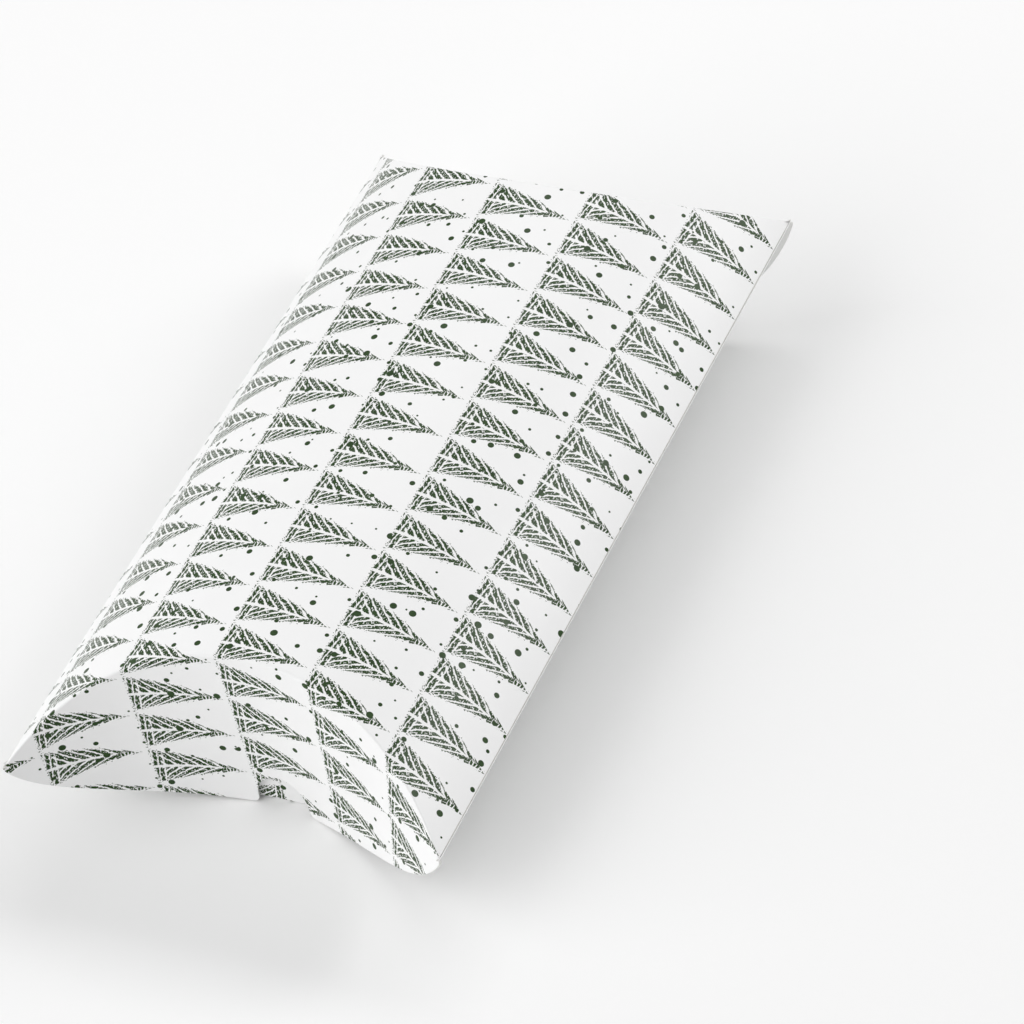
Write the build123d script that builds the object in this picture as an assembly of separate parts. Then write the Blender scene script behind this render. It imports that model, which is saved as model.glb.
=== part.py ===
# Pillow box: one sheet of printed card, scored, glued along one long edge and closed at both ends
# by two pairs of curved flaps. The sheet is kept here as the pieces that its scores make.
# X runs along the box, Y across it, and Z up. The origin is under the middle of the box,
# on the surface that it lies on.
from build123d import *
import math
import os

# The sheet
box_length = 150.0  # corner to corner along the straight folds
panel_width = 90.0  # one long panel laid flat, fold to fold
bow_radius = 53.0  # radius that the closed flaps bend the panels to, on the printed face
card = 0.4  # thickness of the card

# The ends
flap_clearance = 0.6  # air between an inner flap and the outer flap that covers it
inner_flap_share = 2 / 3  # how much of the mouth's height an inner flap covers
notch_width = 10.0  # thumb notch in the free edge of each outer flap
notch_straight = 2.0  # straight sides of the notch, below its round end
notch_round = 1.3  # rounding at the mouth of the notch
shoulder_share = 0.88  # how full the free edge of an outer flap is near its corners

# The glued seam
tab_width = 12.0
tab_setback = 4.0  # how far the ends of the tab stay back from the curved scores
glue_film = 0.1
glue_margin = 1.5  # bare strip of the tab on every side of the glue
seat = 0.01  # air kept between the tab, the glue and the panels

# Worked out from the sizes above
half_length = box_length / 2
half_angle = panel_width / (2 * bow_radius)
rise = bow_radius * (1 - math.cos(half_angle))
half_width = bow_radius * math.sin(half_angle)
axis_depth = bow_radius * math.cos(half_angle)
middle = rise
inner_score = half_length - card - flap_clearance
reach = box_length
diagonal_share = math.sqrt(2)

ABOVE = Pos(0, 0, middle + reach / 2) * Box(2 * reach, 2 * reach, reach)
MIDDLE_PLANE = Plane(origin=(0, 0, middle), z_dir=(0, 0, 1))


def along_box(face):
    """Runs a section drawn in Y and Z through the whole length of the box."""
    return extrude(Plane.YZ * face, amount=half_length, both=True)


def bow_section(inner, outer):
    """Ring that the upper panel is a part of, seen along the box."""
    return Pos(0, middle - axis_depth) * (Circle(outer) - Circle(inner))


def score_column(score):
    """Column through the curved score at the -X end, square to the score's own plane.

    The score lies in a plane at 45 degrees through the two corners. What is inside the column
    belongs to the flap and what is outside it to the panel, so the two meet in a mitre.
    """
    score_plane = Plane(origin=(-score, 0, middle), x_dir=(0, 1, 0), z_dir=(1, 0, -1))
    outline = Pos(0, -diagonal_share * axis_depth) * Ellipse(bow_radius, diagonal_share * bow_radius)
    return extrude(score_plane * outline, amount=2 * rise, both=True)


def bowed_panel(score):
    """Upper long panel: a strip bent round an axis along the box, with a curved score at each end."""
    strip = along_box(bow_section(bow_radius - card, bow_radius)) & ABOVE
    cut_out = score_column(score)
    return strip - cut_out - mirror(cut_out, Plane.YZ)


def hanging_flap(score, outline):
    """Flap folded down from the upper panel's score at the -X end, bent round an upright axis.

    Folding mirrors the panel in the plane of the score, so the flap has the panel's own radius.
    The outline, drawn in Y and Z, gives its free edge.
    """
    ring = Pos(-score - axis_depth, 0) * (Circle(bow_radius + card) - Circle(bow_radius))
    wall = extrude(ring, amount=2 * middle)
    return wall & along_box(outline) & score_column(score)


def outer_outline():
    """Shape of an outer flap seen along the box: a full free edge with a round-ended thumb notch."""
    right_edge = Bezier((half_width, middle), (shoulder_share * half_width, 0), (0, 0))
    left_edge = Bezier((0, 0), (-shoulder_share * half_width, 0), (-half_width, middle))
    top = Polyline(
        (-half_width, middle),
        (-half_width, 2 * middle),
        (half_width, 2 * middle),
        (half_width, middle),
    )
    outline = make_face(right_edge + left_edge + top)
    outline -= Pos(0, notch_straight - reach / 2) * Rectangle(notch_width, reach)
    outline -= Pos(0, notch_straight) * Circle(notch_width / 2)
    mouth = outline.vertices().filter_by(lambda corner: corner.Y < notch_straight / 2)
    return fillet(mouth, notch_round)


def outer_flap():
    """Notched flap of the upper panel, which closes over the inner one."""
    return hanging_flap(half_length, outer_outline())


def inner_flap():
    """Flap of the lower panel, folded in first, with its top edge cut straight and low."""
    bow = Pos(0, middle + axis_depth) * Circle(bow_radius - card - flap_clearance)
    flap = hanging_flap(inner_score, bow)
    height = inner_flap_share * 2 * rise
    kept = Pos(0, 0, 2 * middle - height / 2) * Box(2 * reach, 2 * reach, height)
    return mirror(flap & kept, MIDDLE_PLANE)


def under_panel(inner, outer, edge_gap, floor):
    """Strip of the glued seam, bent to the upper panel, beside the straight fold on the -Y side."""
    far_side = math.degrees((tab_width - edge_gap) / bow_radius)
    fold_angle = 90 + math.degrees(half_angle)
    ring = Pos(0, middle - axis_depth) * (Circle(outer) - Circle(inner))
    start = math.radians(fold_angle - far_side)
    cut_plane = Plane(
        origin=(0, 0, middle - axis_depth),
        z_dir=(0, math.cos(start + math.pi / 2), math.sin(start + math.pi / 2)),
    )
    strip = split(along_box(ring), cut_plane, keep=Keep.TOP) & floor
    setback = tab_setback + edge_gap
    for side in (-1, 1):
        end_plane = Plane(origin=(side * (half_length - setback), 0, middle), z_dir=(-side, 0, -1))
        strip = split(strip, end_plane, keep=Keep.TOP)
    return strip


def seam_tab():
    """Tab that continues the lower panel past its straight fold, up the inside of the upper panel."""
    outside = bow_radius - card - glue_film
    lower_inside = along_box(Pos(0, middle + axis_depth) * Circle(bow_radius - card - seat))
    return under_panel(outside - card, outside, 0, lower_inside)


def seam_glue():
    """Film of glue between the tab and the upper panel."""
    above_fold = Pos(0, 0, middle + glue_margin + reach / 2) * Box(2 * reach, 2 * reach, reach)
    outside = bow_radius - card
    return under_panel(outside - glue_film + seat, outside - seat, glue_margin, above_fold)


near_outer_flap = outer_flap()
near_inner_flap = inner_flap()

pieces = {
    "top_panel": bowed_panel(half_length),
    "bottom_panel": mirror(bowed_panel(inner_score), MIDDLE_PLANE),
    "seam_tab": seam_tab(),
    "seam_glue": seam_glue(),
    "near_outer_flap": near_outer_flap,
    "near_inner_flap": near_inner_flap,
    "far_outer_flap": mirror(near_outer_flap, Plane.YZ),
    "far_inner_flap": mirror(near_inner_flap, Plane.YZ),
}

os.makedirs("parts", exist_ok=True)
for name, piece in pieces.items():
    export_step(piece, f"parts/{name}.step")
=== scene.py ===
import math

import bmesh
import bpy
from mathutils import Matrix, Vector


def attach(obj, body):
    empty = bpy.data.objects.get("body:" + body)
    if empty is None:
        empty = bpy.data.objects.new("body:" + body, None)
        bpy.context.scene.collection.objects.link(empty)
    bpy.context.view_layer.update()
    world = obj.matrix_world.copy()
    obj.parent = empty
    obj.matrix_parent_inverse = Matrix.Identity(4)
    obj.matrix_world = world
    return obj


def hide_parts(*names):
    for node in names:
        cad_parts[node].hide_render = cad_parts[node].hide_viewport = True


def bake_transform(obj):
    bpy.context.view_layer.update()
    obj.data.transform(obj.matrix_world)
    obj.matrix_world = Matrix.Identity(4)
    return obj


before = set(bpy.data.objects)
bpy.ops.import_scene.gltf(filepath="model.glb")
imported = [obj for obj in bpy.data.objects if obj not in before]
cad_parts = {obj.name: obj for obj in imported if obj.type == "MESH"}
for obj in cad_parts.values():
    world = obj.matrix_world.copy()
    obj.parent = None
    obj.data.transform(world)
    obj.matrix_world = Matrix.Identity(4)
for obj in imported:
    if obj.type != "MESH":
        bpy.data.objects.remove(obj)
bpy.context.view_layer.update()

# UPPER PANEL
# The bowed top of the box: solid white board, 0.4 mm thick, coated and printed on its outside, cut
# and scored flat. The closed flaps hold its bow, and it turns down into a flap at each end over a
# rounded, curved score. Its long edge on the -Y side is cut, and glued over the seam tab.
half_length = 75.0  # mid-length to a corner of the box, in millimetres as all sizes of the sheet
half_panel = 45.0  # half a panel's width, laid flat
bow_radius = 53.0
card = 0.4
crease = 0.6  # rounding of the board over a curved score
fold_round = 0.45  # rounding of the board over a long fold
fullness = 0.5  # the most that a panel stands out from an arc
corner_turn = 30  # how close to a corner an inner score turns out to it
near_spring = 0.27  # radians that the near flap springs out by, at its corner beside the seam
millimetres = 1000  # in a metre
panel_rows = 40
panel_columns = 120

half_angle = half_panel / bow_radius
axis_depth = bow_radius * math.cos(half_angle)
half_width = bow_radius * math.sin(half_angle)
rise = bow_radius - axis_depth
fuller_scale = 27 / 4 * fullness
fold_angle = math.atan2(math.sin(half_angle) + fuller_scale / half_panel, math.cos(half_angle))
long_crease = fold_round / math.tan(fold_angle)
straight = half_panel - long_crease


def panel_height(across):
    """Height of a panel over the box's middle plane, at a place across the flat panel.

    The stiff board is a little fuller than an arc on each side of its middle.
    """
    share = min(1.0, abs(across) / half_panel)
    fuller = fuller_scale * share**2 * (1 - share)
    return bow_radius * math.cos(across / bow_radius) - axis_depth + fuller


def score_place(across, level):
    """Distance of a curved score from mid-length. All scores start from the box's four corners."""
    inset = (half_length - level) * (1 - min(1.0, abs(across) / half_panel) ** corner_turn)
    return half_length - inset - max(0.0, panel_height(across))


def bent_over(along, across, level, up):
    """Place of a point of the flat sheet once it is bowed and its ends are folded over the scores.

    The doubled board of the seam is stiffer, so beside it the near outer flap springs out a little.
    """
    if abs(across) <= straight:
        y = bow_radius * math.sin(across / bow_radius)
        height = panel_height(across)
    else:
        turned = (abs(across) - straight) / long_crease - 1
        angle = -turned * (math.pi / 2 - fold_angle)
        y = half_width - fold_round / math.sin(fold_angle) + fold_round * math.cos(angle)
        y = math.copysign(y, across)
        height = fold_round * math.sin(angle)
    score = score_place(across, level)
    past = abs(along) - score
    if past <= -crease:
        x = abs(along)
    elif past < crease:
        angle = (past + crease) / (2 * crease) * math.pi / 2
        x = score - crease + crease * math.sin(angle)
        height += crease * math.cos(angle) - crease
    else:
        springs = along < 0 and up > 0
        sprung = max(0.0, -across) / half_panel * near_spring if springs else 0.0
        out = (past - crease) * math.sin(sprung)
        turn = across / bow_radius
        x = score + out * math.cos(turn)
        y -= out * math.sin(turn)
        height -= crease + (past - crease) * math.cos(sprung)
    return Vector((math.copysign(x, along), y, rise + up * height)) / millimetres


def bent_piece(name, rows, columns, flat_place, level, up, outward):
    """Cuts a piece of the sheet flat, keeps its place on the sheet as its UV map, and bends it.

    The UV map is in millimetres, and runs on from the upper panel to the lower one over the fold
    on the +Y side, so that the print does too. Each point also keeps how much of an opening flap's
    turn it takes: none at the score, and past it as much as keeps the board from stretching.
    """
    sheet = bmesh.new()
    bmesh.ops.create_grid(sheet, x_segments=rows, y_segments=columns, size=1.0)
    flap_share = sheet.verts.layers.float.new("flap_share")
    for corner in sheet.verts:
        along, across = flat_place(corner.co.x, corner.co.y)
        past = max(0.0, abs(along) - score_place(across, level))
        below = rise - panel_height(across)
        swing = 1 - 4 / math.pi * math.atan2(below, below + past)
        corner[flap_share] = swing * min(1.0, past / crease)
        corner.co = (along, across, 0)
    flat_map = sheet.loops.layers.uv.new("flat_mm")
    for face in sheet.faces:
        for loop in face.loops:
            across = loop.vert.co.y
            loop[flat_map].uv = (loop.vert.co.x, across if up > 0 else 2 * half_panel - across)
    for corner in sheet.verts:
        corner.co = bent_over(corner.co.x, corner.co.y, level, up)
    sheet.normal_update()
    if sum(face.normal.dot(outward) for face in sheet.faces) < 0:
        bmesh.ops.reverse_faces(sheet, faces=sheet.faces)
    for face in sheet.faces:
        face.smooth = True
    for edge in sheet.edges:
        edge.smooth = not edge.is_boundary
    mesh = bpy.data.meshes.new(name)
    sheet.to_mesh(mesh)
    sheet.free()
    piece = bpy.data.objects.new(name, mesh)
    bpy.context.scene.collection.objects.link(piece)
    board = piece.modifiers.new("board", "SOLIDIFY")
    board.thickness = card / millimetres
    board.offset = -1
    board.use_even_offset = True
    board.material_offset = 1
    board.material_offset_rim = 2
    for material in (printed_card, bare_card, cut_edge):
        mesh.materials.append(material)
    return piece


def linear(hex_colour):
    """Colour written as sRGB hex, turned to the linear values that shaders take."""
    shares = [int(hex_colour[i : i + 2], 16) / 255 for i in (1, 3, 5)]
    return [s / 12.92 if s <= 0.04045 else ((s + 0.055) / 1.055) ** 2.4 for s in shares] + [1.0]


def add_node(tree, kind, *values, **settings):
    """Adds a node and gives its first output.

    The settings come first, because they say which inputs it has. The values then fill its inputs
    in order, and one that is another node's output is linked.
    """
    node = tree.nodes.new("ShaderNode" + kind)
    for name, setting in settings.items():
        setattr(node, name, setting)
    for socket, value in zip([s for s in node.inputs if s.enabled], values):
        if isinstance(value, bpy.types.NodeSocket):
            tree.links.new(value, socket)
        else:
            socket.default_value = value
    return next(s for s in node.outputs if s.enabled)


common_index = 1.5  # refractive index of paper, clay coating and dried glue alike


def new_finish(name, colour, roughness):
    """Material with its plain numbers set on the shader's own sockets."""
    material = bpy.data.materials.new(name)
    material.use_nodes = True
    shader = material.node_tree.nodes["Principled BSDF"]
    shader.inputs["Base Color"].default_value = linear(colour)
    shader.inputs["Roughness"].default_value = roughness
    shader.inputs["IOR"].default_value = common_index
    return material, material.node_tree, shader


# Coated board, offset printed in one dark green. The clay coating gives the white a soft, even
# gloss, and the ink is a little glossier. The repeat is a fir tree with a bare stem and bare
# branches, as rough as a lino cut, with round flakes strewn between. Its rows run along the box.
# Lengths are in millimetres, and a MapRange over a narrow range about 0 softens an edge.
coating_roughness = 0.42
ink_roughness = 0.24
ink_index = 1.23  # brought down from 1.5 to the sheen that this print shows
printed_card, press, printed_shader = new_finish(
    "coated_printed_board", "#f4f4f4", coating_roughness
)
sheet_place = add_node(press, "UVMap", uv_map="flat_mm")
along = add_node(press, "SeparateXYZ", sheet_place).node.outputs["X"]
across = along.node.outputs["Y"]

# Each point finds its row, its tree in that row, its height up the tree and its way from the stem.
tree_pitch = 8.81
tree_start = 56.905 / tree_pitch
row_pitch = 16.926
row_start = 38.815 / row_pitch
row_slip = -0.0571  # tree pitches that the print slips by in each row
tree_lean = -0.0024  # times the square of the height up the tree
rows_down = add_node(press, "Math", across, -1 / row_pitch, row_start, operation="MULTIPLY_ADD")
row = add_node(press, "Math", rows_down, operation="FLOOR")
climb = add_node(press, "Math", rows_down, operation="FRACT")
climb = add_node(press, "Math", climb, row_pitch, operation="MULTIPLY")
odd_row = add_node(press, "Math", row, 2.0, operation="FLOORED_MODULO")
trees_along = add_node(press, "Math", along, -1 / tree_pitch, tree_start, operation="MULTIPLY_ADD")
trees_along = add_node(press, "Math", odd_row, 0.5, trees_along, operation="MULTIPLY_ADD")
trees_along = add_node(press, "Math", rows_down, row_slip, trees_along, operation="MULTIPLY_ADD")
beside = add_node(press, "Math", trees_along, operation="FRACT")
beside = add_node(press, "Math", beside, tree_pitch, -tree_pitch / 2, operation="MULTIPLY_ADD")
lean = add_node(press, "Math", climb, 2.0, operation="POWER")
beside = add_node(press, "Math", lean, tree_lean, beside, operation="MULTIPLY_ADD")
from_stem = add_node(press, "Math", beside, operation="ABSOLUTE")
on_left = add_node(press, "Math", beside, 0.0, operation="GREATER_THAN")

# All trees are printed from one block, so what the knife did to it is the same in every tree.
waves_per_mm = 1.3
knife_noise = (2.0, 0.6)  # detail and roughness
block_place = add_node(press, "CombineXYZ", beside, climb)
wobble = add_node(press, "TexNoise", block_place, waves_per_mm, *knife_noise, noise_dimensions="2D")
wobble = add_node(press, "Math", wobble, 0.5, operation="SUBTRACT")

# The branches are bare lines that leave the stem downwards, steeper on the left, and level out low
# down. Widths are shares of their pitch.
branch_pitch = 1.85
right_slope = 1.25
left_steeper = 0.5
levelling = (1.5, 4.5, 0.8, 1.0)  # two heights, and the part of the slope kept at each
left_lower = 0.8  # how much lower a branch leaves the stem on the left
waver = 0.9  # how far the knife's wobble moves a branch
branch_reach = 3.0
branch_half_widths = (0.18, 0.13)  # at the stem, and at the branch's reach
top_branch_height = 12.7
foot_height = 1.7
slope = add_node(press, "Math", on_left, left_steeper, right_slope, operation="MULTIPLY_ADD")
low_down = add_node(press, "MapRange", climb, *levelling)
slope = add_node(press, "Math", slope, low_down, operation="MULTIPLY")
branch_place = add_node(press, "Math", slope, from_stem, climb, operation="MULTIPLY_ADD")
branch_place = add_node(press, "Math", on_left, left_lower, branch_place, operation="MULTIPLY_ADD")
branch_place = add_node(press, "Math", wobble, waver, branch_place, operation="MULTIPLY_ADD")
branch_share = add_node(press, "Math", branch_place, 1 / branch_pitch, operation="MULTIPLY")
branch_share = add_node(press, "Math", branch_share, operation="FRACT")
off_branch = add_node(press, "Math", branch_share, 0.5, operation="SUBTRACT")
off_branch = add_node(press, "Math", off_branch, operation="ABSOLUTE")
branch_edge = add_node(press, "MapRange", from_stem, 0.0, branch_reach, *branch_half_widths)
branch_edge = add_node(press, "Math", branch_edge, off_branch, operation="SUBTRACT")
top_branch = add_node(press, "Math", top_branch_height, branch_place, operation="SUBTRACT")
branch_edge = add_node(press, "Math", branch_edge, top_branch, operation="MINIMUM")
above_foot = add_node(press, "Math", climb, foot_height, operation="SUBTRACT")
branch_edge = add_node(press, "Math", branch_edge, above_foot, operation="MINIMUM")
branches = add_node(press, "MapRange", branch_edge, -0.02, 0.03)

# Finer lines split the ink between two branches, away from the stem.
right_start = 3.1
left_nearer = -1.3
fine_wobble = 4.0
fine_line = 0.45  # shares of the branches' pitch that it keeps away from them
fine_start = add_node(press, "Math", on_left, left_nearer, right_start, operation="MULTIPLY_ADD")
fine_start = add_node(press, "Math", wobble, fine_wobble, fine_start, operation="MULTIPLY_ADD")
fine_start = add_node(press, "Math", from_stem, fine_start, operation="SUBTRACT")
fine_edge = add_node(press, "Math", off_branch, fine_line, operation="SUBTRACT")
fine_edge = add_node(press, "Math", fine_edge, fine_start, operation="MINIMUM")
fine_lines = add_node(press, "MapRange", fine_edge, -0.03, 0.03)

# The stem is a bare line that thins upwards.
stem_half_width = 0.31
stem_taper = -0.011
stem_height = 11.8
stem_edge = add_node(press, "Math", climb, stem_taper, stem_half_width, operation="MULTIPLY_ADD")
stem_edge = add_node(press, "Math", stem_edge, from_stem, operation="SUBTRACT")
under_tip = add_node(press, "Math", stem_height, climb, operation="SUBTRACT")
stem_edge = add_node(press, "Math", stem_edge, under_tip, operation="MINIMUM")
stem = add_node(press, "MapRange", stem_edge, -0.03, 0.04)

# Short level cuts notch the tip from its left side, and part the strokes at the foot.
foot_cut_pitch = 0.9
tip_cut_pitch = 0.62
cut_slant = 0.12
cut_waver = 0.5
cut_middle = 0.24  # share of the pitch
cut_half_width = 0.14  # share of the pitch
no_cut = -0.3
foot_cuts_end = (2.3, 2.7)
tip_cuts_start = (12.3, 12.6)
tip_cuts_side = (-0.45, -0.25)  # beside the stem
cuts_per_mm = add_node(press, "MapRange", climb, 6.0, 6.1, 1 / foot_cut_pitch, 1 / tip_cut_pitch)
cut_place = add_node(press, "Math", beside, cut_slant, climb, operation="MULTIPLY_ADD")
cut_place = add_node(press, "Math", wobble, cut_waver, cut_place, operation="MULTIPLY_ADD")
cut_place = add_node(press, "Math", cut_place, cuts_per_mm, operation="MULTIPLY")
off_cut = add_node(press, "Math", cut_place, operation="FRACT")
off_cut = add_node(press, "Math", off_cut, cut_middle, operation="SUBTRACT")
off_cut = add_node(press, "Math", off_cut, operation="ABSOLUTE")
tip_cut = add_node(press, "MapRange", climb, *tip_cuts_start, no_cut, cut_half_width)
right_side = add_node(press, "MapRange", beside, *tip_cuts_side, no_cut, 0.0)
tip_cut = add_node(press, "Math", tip_cut, right_side, operation="ADD")
foot_cut = add_node(press, "MapRange", climb, *foot_cuts_end, cut_half_width, no_cut)
cut_width = add_node(press, "Math", tip_cut, foot_cut, operation="MAXIMUM")
cut_side = add_node(press, "Math", cut_width, off_cut, operation="SUBTRACT")
level_cuts = add_node(press, "MapRange", cut_side, -0.04, 0.04)

# Nicks in the block leave short bare flecks.
nicks_per_mm = 1.7
nick_squash = (1.0, 2.0, 1.0)  # half as high as they are wide
nick_level = (0.62, 0.65)  # the noise's height over which there is a nick
nick_place = add_node(press, "VectorMath", block_place, nick_squash, operation="MULTIPLY")
nicks = add_node(press, "TexNoise", nick_place, nicks_per_mm, *knife_noise, noise_dimensions="2D")
nicks = add_node(press, "MapRange", nicks, *nick_level)

# The outline is a triangle whose sides step in above each branch. Specks of ink fringe it.
tree_height = 15.75
right_base = 4.15
left_narrower = -0.4
foot_level = 0.4
step_start = 0.4  # share of the branches' pitch
step_depth = 0.5
tear_depth = 1.1
tearing = (11.5, 13.5, 1.0, 0.2)  # two heights, and the part of the tear at each
specks_per_mm = 2.1
speck_sizes = (-0.45, 0.1, 0.12, 0.34)  # ways in from the outline, and a speck's radius at each
fringe_widths = (11.0, 12.5, 0.35, 0.0)  # two heights, and the fringe's width at each
half_base = add_node(press, "Math", on_left, left_narrower, right_base, operation="MULTIPLY_ADD")
height_left = add_node(press, "Math", climb, -1 / tree_height, 1.0, operation="MULTIPLY_ADD")
side_edge = add_node(press, "Math", half_base, height_left, operation="MULTIPLY")
side_edge = add_node(press, "Math", side_edge, from_stem, operation="SUBTRACT")
step = add_node(press, "Math", branch_share, step_start, operation="ADD")
step = add_node(press, "Math", step, operation="FRACT")
step = add_node(press, "Math", 0.5, step, operation="SUBTRACT")
side_edge = add_node(press, "Math", step, step_depth, side_edge, operation="MULTIPLY_ADD")
foot_edge = add_node(press, "Math", climb, foot_level, operation="SUBTRACT")
outline = add_node(press, "Math", side_edge, foot_edge, operation="MINIMUM")
torn = add_node(press, "MapRange", climb, *tearing)
torn = add_node(press, "Math", torn, wobble, operation="MULTIPLY")
outline = add_node(press, "Math", torn, tear_depth, outline, operation="MULTIPLY_ADD")
inside_tree = add_node(press, "MapRange", outline, -0.03, 0.05)
speck = add_node(press, "TexVoronoi", block_place, specks_per_mm, voronoi_dimensions="2D")
speck_edge = add_node(press, "MapRange", outline, *speck_sizes)
fringe = add_node(press, "Math", speck_edge, speck, operation="SUBTRACT")
fringe_width = add_node(press, "MapRange", climb, *fringe_widths)
in_fringe = add_node(press, "Math", outline, fringe_width, operation="ADD")
fringe = add_node(press, "Math", fringe, in_fringe, operation="MINIMUM")
fringe = add_node(press, "MapRange", fringe, -0.03, 0.05)

bare_lines = add_node(press, "Math", stem, branches, operation="MAXIMUM")
bare_lines = add_node(press, "Math", bare_lines, fine_lines, operation="MAXIMUM")
bare_lines = add_node(press, "Math", bare_lines, level_cuts, operation="MAXIMUM")
bare_lines = add_node(press, "Math", bare_lines, nicks, operation="MAXIMUM")
inked = add_node(press, "Math", 1.0, bare_lines, operation="SUBTRACT")
tree_ink = add_node(press, "Math", inside_tree, inked, operation="MULTIPLY")
outside_tree = add_node(press, "Math", 1.0, inside_tree, operation="SUBTRACT")
fringe = add_node(press, "Math", fringe, outside_tree, operation="MULTIPLY")
tree_ink = add_node(press, "Math", tree_ink, fringe, operation="MAXIMUM")

# The flakes are round dots, 0.4 to 1.3 mm across. One cell in five has none.
flake_pitch = 4.2
least_flake = 0.045  # its radius, as a share of the pitch
size_range = 0.11
small_flakes = 1.6  # the higher, the more of them are small
kept_flakes = 0.8
flake = add_node(press, "TexVoronoi", sheet_place, 1 / flake_pitch, voronoi_dimensions="2D").node
flake_chance = add_node(press, "SeparateXYZ", flake.outputs["Color"]).node
flake_size = add_node(press, "Math", flake_chance.outputs["X"], small_flakes, operation="POWER")
flake_size = add_node(press, "Math", flake_size, size_range, least_flake, operation="MULTIPLY_ADD")
no_flake = add_node(press, "Math", flake_chance.outputs["Y"], kept_flakes, operation="GREATER_THAN")
flake_edge = add_node(press, "Math", flake_size, flake.outputs["Distance"], operation="SUBTRACT")
flake_edge = add_node(press, "Math", flake_edge, no_flake, operation="SUBTRACT")
flakes = add_node(press, "MapRange", flake_edge, -0.005, 0.007)
ink = add_node(press, "Math", tree_ink, flakes, operation="MAXIMUM")

# The print stops short of the fold to the seam tab, where the board stays bare for the glue.
seam_margin = 134.45  # across the flat sheet, where that fold is at 135
printed = add_node(press, "Math", across, seam_margin, operation="LESS_THAN")
ink = add_node(press, "Math", ink, printed, operation="MULTIPLY")

# The ink lies thicker in places, the board is hardly mottled, and its coating is slightly uneven.
ink_patches_per_mm = 0.8
mottles_per_mm = 0.12
coating_waves_per_mm = 1.4
coating_relief = (0.25, 0.00003, 1.0)  # strength, depth in metres and filter of the bump
ink_depth = add_node(press, "TexNoise", sheet_place, ink_patches_per_mm, 3.0, noise_dimensions="2D")
ink_tones = (linear("#1a3012"), linear("#365129"))
ink_colour = add_node(press, "Mix", ink_depth, *ink_tones, data_type="RGBA")
board_tone = add_node(press, "TexNoise", sheet_place, mottles_per_mm, 3.0, noise_dimensions="2D")
board_tones = (linear("#f4f4f4"), linear("#f8f8f8"))
board_colour = add_node(press, "Mix", board_tone, *board_tones, data_type="RGBA")
face_colour = add_node(press, "Mix", ink, board_colour, ink_colour, data_type="RGBA")
press.links.new(face_colour, printed_shader.inputs["Base Color"])
gloss = add_node(press, "MapRange", ink, 0.0, 1.0, coating_roughness, ink_roughness)
press.links.new(gloss, printed_shader.inputs["Roughness"])
sheen = add_node(press, "MapRange", ink, 0.0, 1.0, common_index, ink_index)
press.links.new(sheen, printed_shader.inputs["IOR"])
coating_noise = (coating_waves_per_mm, 4.0, 0.6)
coating = add_node(press, "TexNoise", sheet_place, *coating_noise, noise_dimensions="2D")
coating = add_node(press, "Bump", *coating_relief, coating)
press.links.new(coating, printed_shader.inputs["Normal"])

# The inside of the board: the uncoated back, matt and faintly mottled by its fibres.
fibre_length = 0.5
fibre_detail = (5.0, 0.65)
fibre_relief = (0.35, 0.00005, 1.0)
back_roughness = 0.75
bare_card, back, back_shader = new_finish("uncoated_board_back", "#efefed", back_roughness)
back_place = add_node(back, "UVMap", uv_map="flat_mm")
fibre_noise = (1 / fibre_length, *fibre_detail)
fibres = add_node(back, "TexNoise", back_place, *fibre_noise, noise_dimensions="2D")
back_tones = (linear("#e9e9e6"), linear("#f3f3f2"))
back_colour = add_node(back, "Mix", fibres, *back_tones, data_type="RGBA")
back.links.new(back_colour, back_shader.inputs["Base Color"])
fibre_bump = add_node(back, "Bump", *fibre_relief, fibres)
back.links.new(fibre_bump, back_shader.inputs["Normal"])

# The cut edge of the board: pressed pulp, a little greyer than its faces, in layers.
pulp_grains_per_metre = 9000.0
cut_edge, pulp, pulp_shader = new_finish("die_cut_board_edge", "#e4e4e0", roughness=0.85)
pulp_place = add_node(pulp, "TexCoord").node.outputs["Object"]
pulp_grain = add_node(pulp, "TexNoise", pulp_place, pulp_grains_per_metre, 2.0)
pulp_tones = (linear("#d6d6d1"), linear("#f0f0ee"))
pulp_colour = add_node(pulp, "Mix", pulp_grain, *pulp_tones, data_type="RGBA")
pulp.links.new(pulp_colour, pulp_shader.inputs["Base Color"])


def upper_panel_place(length_share, width_share):
    """Place on the flat sheet of a point of the upper panel."""
    across = width_share * straight
    return length_share * (score_place(across, half_length) - crease), across


upward = Vector((0, 0, 1))
upper_panel = bent_piece(
    "upper_panel", panel_rows, panel_columns, upper_panel_place, half_length, 1, upward
)
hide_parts("top_panel")
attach(upper_panel, "sleeve")

# LOWER PANEL
# The bowed underside, which the box lies on: the same board, joined to the upper panel by a rounded
# fold on the +Y side. On the -Y side it folds round into the seam tab, under the upper panel's cut
# edge, so that a fine line shows there. Its own scores lie a board and a little air further in.
tuck_air = 0.6  # between an inner flap and the outer flap that covers it
inner_level = half_length - (card + tuck_air)
fold_share = 0.9  # part of the mesh's columns that lies between the folds
joined_turn = 2.0  # how far it runs round a long fold: 1 is half way, and 2 the upper panel
seam_turn = 1.3


def lower_panel_place(length_share, width_share):
    """Place on the flat sheet of a point of the lower panel. Columns lie closer at its folds."""
    beyond = max(0.0, abs(width_share) - fold_share) / (1 - fold_share)
    turn = joined_turn if width_share > 0 else seam_turn
    between_folds = min(abs(width_share), fold_share) / fold_share * straight
    across = between_folds + beyond * turn * long_crease
    taper = max(0.0, 1 - max(0.0, across - straight) / long_crease)
    end = score_place(across, inner_level) - crease * taper
    return length_share * end, math.copysign(across, width_share)


lower_panel = bent_piece(
    "lower_panel", panel_rows, panel_columns, lower_panel_place, inner_level, -1, -upward
)
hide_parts("bottom_panel")
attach(lower_panel, "sleeve")

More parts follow.
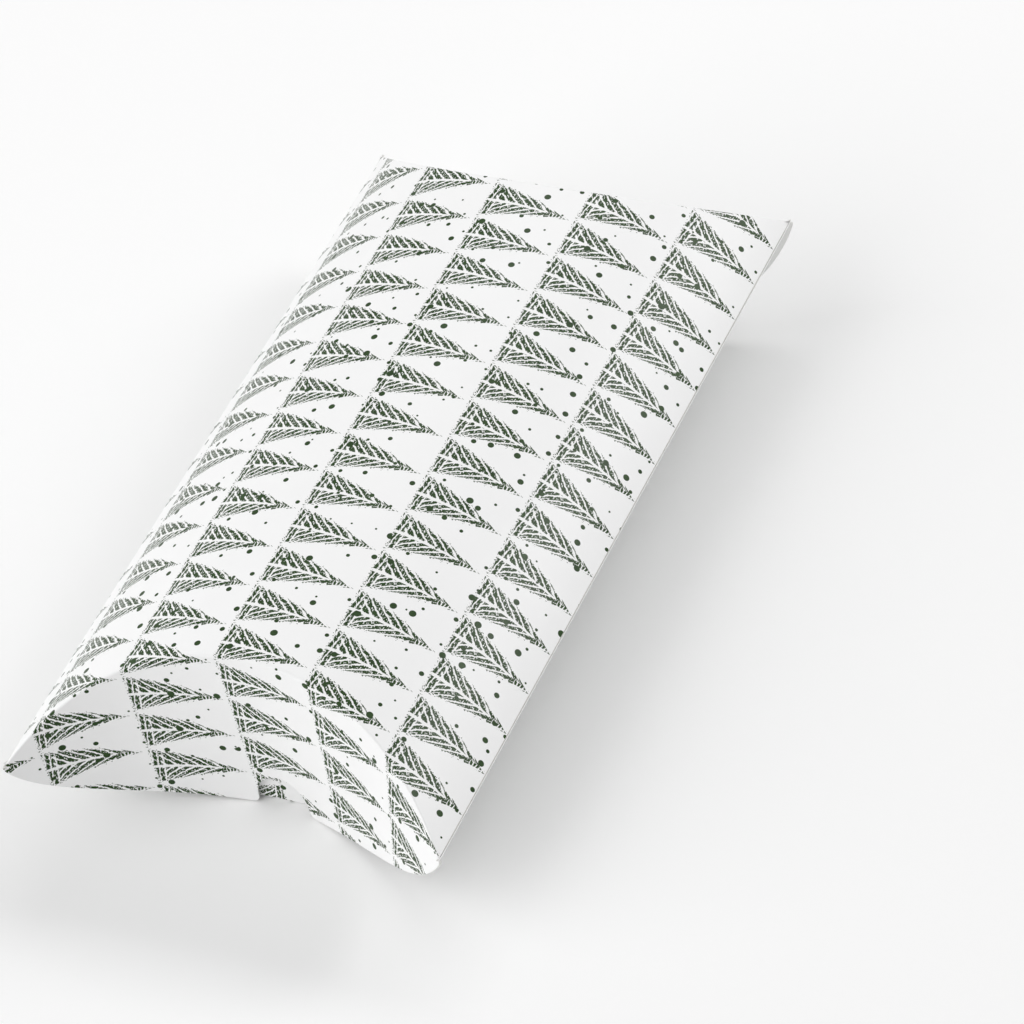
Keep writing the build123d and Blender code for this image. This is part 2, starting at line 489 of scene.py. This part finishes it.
# SEAM
# The tab is the same board, held up inside the upper panel by a film of dried white glue. Both
# show when the box is open: the tab with its uncoated back, and the glue as a thin milky line
# along the tab's edges.
tab_back, tab_tree, tab_shader = new_finish("uncoated_tab_back", "#efefed", back_roughness)
tab_place = add_node(tab_tree, "TexCoord").node.outputs["Object"]
tab_fibre_noise = (millimetres / fibre_length, *fibre_detail)
tab_fibres = add_node(tab_tree, "TexNoise", tab_place, *tab_fibre_noise)
tab_colour = add_node(tab_tree, "Mix", tab_fibres, *back_tones, data_type="RGBA")
tab_tree.links.new(tab_colour, tab_shader.inputs["Base Color"])
tab_bump = add_node(tab_tree, "Bump", *fibre_relief, tab_fibres)
tab_tree.links.new(tab_bump, tab_shader.inputs["Normal"])

glue_ripples_per_metre = 600.0
dried_glue, glue_tree, glue_shader = new_finish("dried_white_glue", "#e8e6dc", roughness=0.35)
glue_place = add_node(glue_tree, "TexCoord").node.outputs["Object"]
glue_ripple = add_node(glue_tree, "TexNoise", glue_place, glue_ripples_per_metre, 3.0)
glue_tones = (linear("#dfdccf"), linear("#f0efe8"))
glue_colour = add_node(glue_tree, "Mix", glue_ripple, *glue_tones, data_type="RGBA")
glue_tree.links.new(glue_colour, glue_shader.inputs["Base Color"])
for node_name, material in (("seam_tab", tab_back), ("seam_glue", dried_glue)):
    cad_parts[node_name].data.materials.clear()
    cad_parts[node_name].data.materials.append(material)

# OUTER FLAPS
# The flaps of the upper panel, one at each end, folded down last over the inner ones. A flap keeps
# the panel's bow the other way round, so it is a hollow wall. Its free edge is full, with a round
# thumb notch in the middle.
notch_half = 5.0
notch_straight = 2.0
mouth_round = 1.3
mouth_height = 0.16
mouth_end = 0.0937  # share of the free edge's curve that the notch and its mouth take away
shoulder_share = 0.88
notch_share = 0.25  # part of the flap's width that the notch's columns take up on the mesh
notch_columns = 15
round_columns = 8
mouth_columns = 6
score_crowding = 1.6  # how much closer to the score the mesh's rows lie


def free_edge(width_share):
    """Place across the flat sheet, and height over the table, on an outer flap's free edge.

    It runs round the notch's end, down its straight side, round its mouth and along the full edge.
    """
    column = abs(width_share) / notch_share * notch_columns
    if column <= round_columns:
        angle = column / round_columns * math.pi / 2
        y = notch_half * math.sin(angle)
        z = notch_straight + notch_half * math.cos(angle)
    elif column <= notch_columns:
        mouth_start = notch_columns - mouth_columns
        angle = max(0.0, column - mouth_start) / mouth_columns * math.pi / 2
        y = notch_half + mouth_round * (1 - math.cos(angle))
        z = mouth_height + mouth_round * (1 - math.sin(angle))
    else:
        t = mouth_end + (1 - mouth_end) * (abs(width_share) - notch_share) / (1 - notch_share)
        y = half_width * (t * t + 2 * t * (1 - t) * shoulder_share)
        z = rise * t * t
    across = bow_radius * math.asin(min(1.0, y / half_width) * half_width / bow_radius)
    return math.copysign(across, width_share), z


def flap_place(depth_share, width_share, end_across, end_past, level):
    """Place on the flat sheet of a point between a panel's end and a flap's free edge."""
    share = ((1 + depth_share) / 2) ** score_crowding
    start_across = width_share * straight
    across = start_across + share * (end_across - start_across)
    past = -crease + share * (end_past + crease)
    return score_place(across, level) + past, across


def near_outer_place(depth_share, width_share):
    """Place on the flat sheet of a point of the near outer flap."""
    end_across, end_height = free_edge(width_share)
    end_past = rise + panel_height(end_across) - end_height
    along, across = flap_place(depth_share, width_share, end_across, end_past, half_length)
    return -along, across


def far_outer_place(depth_share, width_share):
    """Place on the flat sheet of a point of the far outer flap, the same flap turned round."""
    along, across = near_outer_place(depth_share, width_share)
    return -along, across


def hinged(piece):
    """Bakes a flap's piece into place, and reads how much of an opening flap's turn each point
    takes.
    """
    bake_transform(piece)
    shares = [0.0] * len(piece.data.vertices)
    piece.data.attributes["flap_share"].data.foreach_get("value", shares)


nearward = Vector((-1, 0, 0))
near_outer = bent_piece(
    "near_outer_card", panel_rows, panel_columns, near_outer_place, half_length, 1, nearward
)
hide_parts("near_outer_flap")
hinged(near_outer)
far_outer = bent_piece(
    "far_outer_card", panel_rows, panel_columns, far_outer_place, half_length, 1, -nearward
)
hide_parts("far_outer_flap")
hinged(far_outer)

# INNER FLAPS
# The flaps of the lower panel, folded up first and covered by the outer ones. They are the same
# printed board, and their print shows through the thumb notch. Each is cut straight across at two
# thirds of the height of the mouth.
cut_height = 2 * rise * 2 / 3
tuck_radius = bow_radius - (card + tuck_air)
cut_corner = 31.97  # across the box, where the straight cut ends
flap_corner = 39.11  # across the box, where the flap's side meets its score
score_half = 44.0  # half the flap's width along its score
level_share = 0.8  # part of the mesh's columns that ends on the straight cut
inner_columns = 100


def inner_edge(width_share):
    """Place across the flat sheet, and height over the table, on an inner flap's free edge."""
    if abs(width_share) <= level_share:
        y = abs(width_share) / level_share * cut_corner
    else:
        side_share = (abs(width_share) - level_share) / (1 - level_share)
        y = cut_corner + side_share * (flap_corner - cut_corner)
    z = min(cut_height, rise - axis_depth + math.sqrt(tuck_radius**2 - y**2))
    return math.copysign(bow_radius * math.asin(y / bow_radius), width_share), z


def near_inner_place(depth_share, width_share):
    """Place on the flat sheet of a point of the near inner flap."""
    end_across, end_height = inner_edge(width_share)
    end_past = end_height - rise + panel_height(end_across)
    narrow = score_half / straight
    along, across = flap_place(depth_share, width_share * narrow, end_across, end_past, inner_level)
    return -along, across


def far_inner_place(depth_share, width_share):
    """Place on the flat sheet of a point of the far inner flap, the same flap turned round."""
    along, across = near_inner_place(depth_share, width_share)
    return -along, across


near_inner = bent_piece(
    "near_inner_card", panel_rows, inner_columns, near_inner_place, inner_level, -1, nearward
)
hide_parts("near_inner_flap")
hinged(near_inner)
far_inner = bent_piece(
    "far_inner_card", panel_rows, inner_columns, far_inner_place, inner_level, -1, -nearward
)
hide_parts("far_inner_flap")
hinged(far_inner)

# STUDIO
# A plain white sweep under the box. A large softbox lights it from the left and a small one from
# the right, and a long strip light on the far side lays an even sheen on the ink. The camera looks
# down on the near end, as the photographer did, with a long lens and a slight tilt.
floor_half = 3.0  # metres, as all sizes of the studio
floor_mesh = bmesh.new()
bmesh.ops.create_grid(floor_mesh, x_segments=1, y_segments=1, size=floor_half)
floor_data = bpy.data.meshes.new("floor")
floor_mesh.to_mesh(floor_data)
floor_mesh.free()
floor = bpy.data.objects.new("floor", floor_data)
bpy.context.scene.collection.objects.link(floor)
paper_grains_per_metre = 800.0
paper_relief = (0.1, 0.0001, 1.0)
white_paper, paper_tree, paper_shader = new_finish("white_paper_sweep", "#fdfdfd", roughness=0.9)
paper_place = add_node(paper_tree, "TexCoord").node.outputs["Object"]
paper_grain = add_node(paper_tree, "TexNoise", paper_place, paper_grains_per_metre, 3.0)
paper_bump = add_node(paper_tree, "Bump", *paper_relief, paper_grain)
paper_tree.links.new(paper_bump, paper_shader.inputs["Normal"])
floor_data.materials.append(white_paper)

# The white world fills the shadows at less than half its strength. Behind the floor and in
# reflections it is plain white.
fill_strength = 0.44
world = bpy.data.worlds.new("studio")
bpy.context.scene.world = world
world.use_nodes = True
sky = world.node_tree
rays = add_node(sky, "LightPath").node.outputs
seen = add_node(sky, "Math", rays["Is Camera Ray"], rays["Is Glossy Ray"], operation="MAXIMUM")
seen = add_node(sky, "Math", seen, rays["Is Transmission Ray"], operation="MAXIMUM")
brightness = add_node(sky, "MapRange", seen, 0.0, 1.0, fill_strength, 1.0)
background = sky.nodes["Background"]
background.inputs["Color"].default_value = (1.0, 1.0, 1.0, 1.0)
sky.links.new(brightness, background.inputs["Strength"])


def soft_lamp(name, place, target, width, depth, watts):
    """Rectangular area lamp that faces a point."""
    lamp = bpy.data.lights.new(name, "AREA")
    lamp.shape = "RECTANGLE"
    lamp.size = width
    lamp.size_y = depth
    lamp.energy = watts
    holder = bpy.data.objects.new(name, lamp)
    holder.location = place
    holder.rotation_euler = (Vector(target) - Vector(place)).to_track_quat("-Z", "Y").to_euler()
    bpy.context.scene.collection.objects.link(holder)


mid_box = (0, 0, 0.02)
beside_box = (0, -0.26, 0.02)
soft_lamp("left_softbox", (-0.6, 0.68, 0.58), mid_box, width=1.2, depth=1.2, watts=7.7)
soft_lamp("far_strip_light", (0.8, -0.26, 0.85), beside_box, width=1.5, depth=0.26, watts=4.1)
soft_lamp("right_softbox", (0.78, -0.83, 0.67), mid_box, width=0.46, depth=0.46, watts=3.4)

# The camera's place and the three directions of its picture were fitted to the box in the photo.
camera_data = bpy.data.cameras.new("camera")
camera_data.sensor_width = 36.0
camera_data.lens = 198.99
camera_data.clip_start = 0.05
camera = bpy.data.objects.new("camera", camera_data)
camera_place = Vector((-0.55492, -0.40347, 0.67198))
right = Vector((0.39862, -0.89743, -0.18902))
down = Vector((-0.70242, -0.16622, -0.69209))
forward = Vector((0.58968, 0.40865, -0.69663))
turned = Matrix((right, -down, -forward)).transposed().to_4x4()
camera.matrix_world = Matrix.Translation(camera_place) @ turned
bpy.context.scene.collection.objects.link(camera)
bpy.context.scene.camera = camera
bpy.context.scene.view_settings.view_transform = "Standard"
